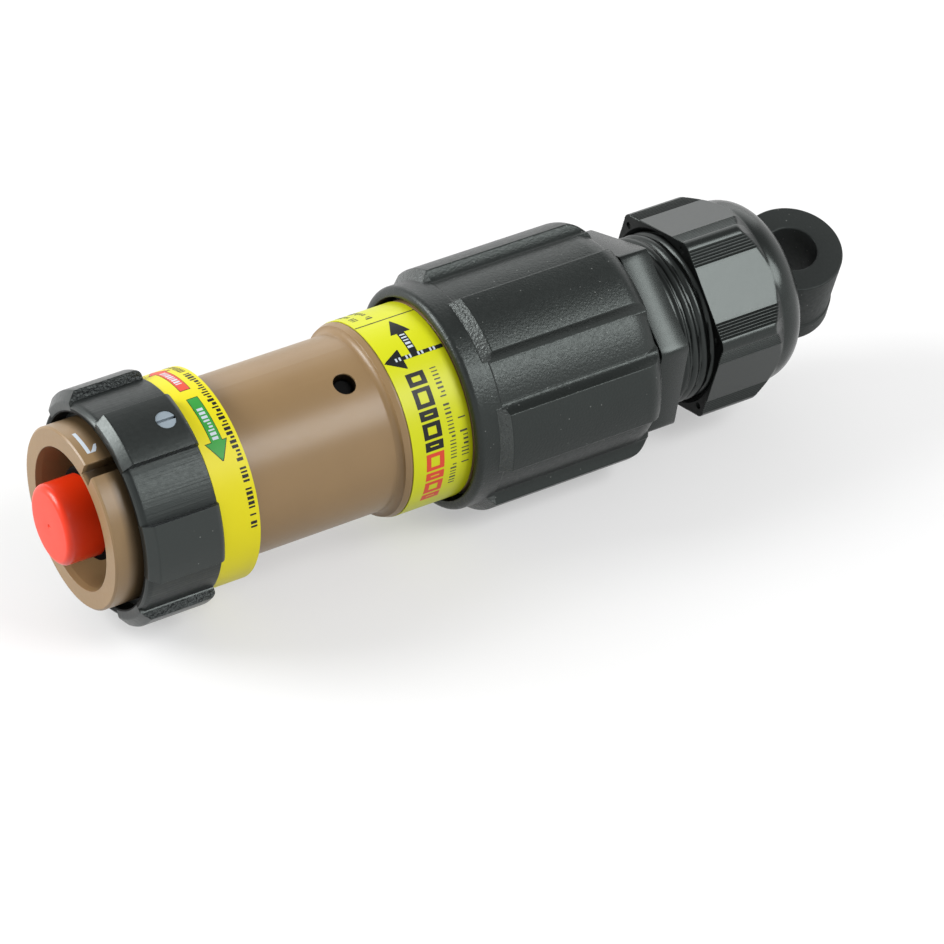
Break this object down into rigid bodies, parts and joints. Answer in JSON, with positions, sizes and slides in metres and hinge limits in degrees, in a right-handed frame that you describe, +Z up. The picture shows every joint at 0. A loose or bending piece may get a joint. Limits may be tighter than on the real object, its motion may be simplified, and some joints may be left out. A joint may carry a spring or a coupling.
{
  "type": "single pole power connector",
  "caption": "Round cable-mounted power connector with an insulated nose, a turning locking ring, a ribbed rear grip and a cable gland.",
  "frame": {"origin": "centre of the front face of the nose, on the connector's axis", "axes": "+X along the axis from the nose to the cable gland, +Z up with the connector lying on its side"},
  "size_m": [0.2446, 0.0678, 0.0664],
  "materials": {
    "insulator_brown": "satin moulded",
    "ring_black": "satin moulded",
    "grip_black": "fine grained",
    "gland_black": "semi gloss",
    "band_yellow": "laminated print",
    "label_yellow": "laminated print",
    "tip_red": "gloss",
    "screw_grey": "smooth",
    "contact_silver": "silver plated",
    "latch_dark": "blackened",
    "steel": "plain",
    "rubber_black": "matte",
    "seal_black": "smooth",
    "cage_grey": "smooth"
  },
  "bodies": {
    "shell": {"front_shell": "insulator_brown", "ring_o_ring": "seal_black", "contact_pin": "contact_silver", "contact_tip": "tip_red", "contact_seal": "seal_black", "latch_spring": "steel", "front_clamp_screw": "steel", "rear_clamp_screw": "steel", "rear_label": "label_yellow", "shell_seal": "seal_black", "rear_grip": "grip_black", "gland_gasket": "seal_black", "gland_body": "gland_black"},
    "ring": {"locking_ring": "ring_black", "ring_label": "band_yellow", "ring_guide_screw": "screw_grey"},
    "latch": {"latch_pin": "latch_dark"},
    "cage": {"gland_claw": "cage_grey"},
    "nut": {"dome_nut": "gland_black", "seal_insert": "rubber_black"}
  },
  "joints": [
    {"name": "ring_turn", "type": "hinge", "parent": "shell", "child": "ring", "pos_m": [0.02, 0, 0], "axis": [1, 0, 0], "range_deg": [0, 45]},
    {"name": "latch_press", "type": "slide", "parent": "shell", "child": "latch", "axis": [0, -0.4571, 0.8894], "range_m": [-0.0046, 0], "stiffness_N_per_m": 1000, "springref_m": 0.005, "deforming": ["latch_spring"]},
    {"name": "cage_slide", "type": "slide", "parent": "shell", "child": "cage", "axis": [1, 0, 0], "range_m": [-0.007, 0]},
    {"name": "nut_turn", "type": "hinge", "parent": "cage", "child": "nut", "pos_m": [0.19, 0, 0], "axis": [1, 0, 0], "range_deg": [-840, 0]}
  ],
  "couplings": [
    {"joint": "cage_slide", "follows": "nut_turn", "m_per_rad": 0.000477}
  ]
}
